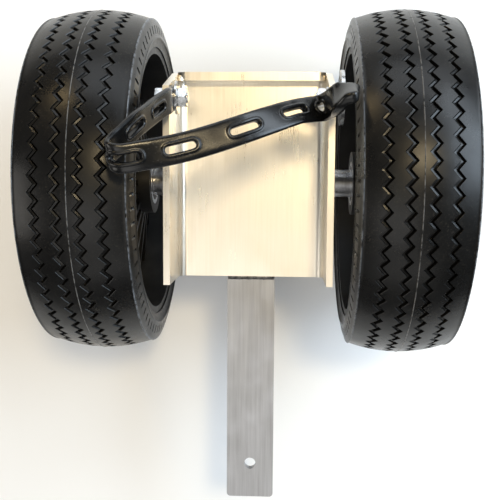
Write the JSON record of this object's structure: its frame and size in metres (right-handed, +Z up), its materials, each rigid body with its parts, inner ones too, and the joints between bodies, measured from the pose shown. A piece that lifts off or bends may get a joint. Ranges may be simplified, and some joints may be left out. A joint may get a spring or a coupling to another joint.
{
  "type": "trailer jack wheel",
  "caption": "Jack dolly with an open aluminium channel tray on a through axle, ribbed moulded wheels with zigzag tread, a flat drawbar tongue and a slotted rubber strap.",
  "frame": {"origin": "middle of the tray floor's upper face, straight above the axle", "axes": "+Z up out of the tray, X along the axle, +Y towards the closed end of the tray, -Y along the tongue"},
  "size_m": [0.3178, 0.393, 0.2914],
  "materials": {
    "mill_aluminium": "mill finish with fine streaks along the extrusion",
    "bar_aluminium": "dull extruded bar with scuffs",
    "weld_metal": "rough grey weld bead",
    "axle_steel": "bright drawn steel",
    "zinc_plate": "bright zinc plating",
    "bearing_steel": "ground steel",
    "seal_rubber": "matt moulded rubber",
    "tyre_rubber": "moulded black rubber with a faint gloss and dust",
    "rim_plastic": "black moulded plastic",
    "strap_rubber": "moulded black rubber with a slight gloss"
  },
  "bodies": {
    "chassis": {"tray": "mill_aluminium", "end_stop": "mill_aluminium", "tongue_bar": "bar_aluminium", "axle_tube": "bar_aluminium", "tongue_weld": "weld_metal", "tube_welds": "weld_metal", "axle": "axle_steel", "axle_spacers": "axle_steel", "hub_sleeves": "axle_steel", "end_washers": "zinc_plate", "cotter_pins": "zinc_plate", "bearing_inner_rings": "bearing_steel", "bearing_balls": "bearing_steel", "strap_bolt": "zinc_plate", "strap_bolt_washers": "zinc_plate", "strap_bolt_nut": "zinc_plate", "keeper_bolt": "zinc_plate", "keeper_washer": "zinc_plate", "keeper_collar": "zinc_plate", "keeper_inner_washer": "zinc_plate", "keeper_nut": "zinc_plate"},
    "left_wheel": {"left_tyre": "tyre_rubber", "left_rim_barrel": "rim_plastic", "left_web": "rim_plastic", "left_hub": "rim_plastic", "left_ribs": "rim_plastic", "left_bearing_outer_rings": "bearing_steel", "left_bearing_seals": "seal_rubber"},
    "right_wheel": {"right_tyre": "tyre_rubber", "right_rim_barrel": "rim_plastic", "right_web": "rim_plastic", "right_hub": "rim_plastic", "right_ribs": "rim_plastic", "right_bearing_outer_rings": "bearing_steel", "right_bearing_seals": "seal_rubber"},
    "strap": {"strap_end": "strap_rubber", "strap_band": "strap_rubber"}
  },
  "joints": [
    {"name": "left_wheel_spin", "type": "hinge", "parent": "chassis", "child": "left_wheel", "pos_m": [-0.1142, 0, -0.0143], "axis": [1, 0, 0], "continuous": true},
    {"name": "right_wheel_spin", "type": "hinge", "parent": "chassis", "child": "right_wheel", "pos_m": [0.1142, 0, -0.0143], "axis": [1, 0, 0], "continuous": true},
    {"name": "strap_swing", "type": "hinge", "parent": "chassis", "child": "strap", "pos_m": [-0.0556, 0.0625, 0.0394], "axis": [-1, 0, 0], "range_deg": [0, 75]}
  ]
}
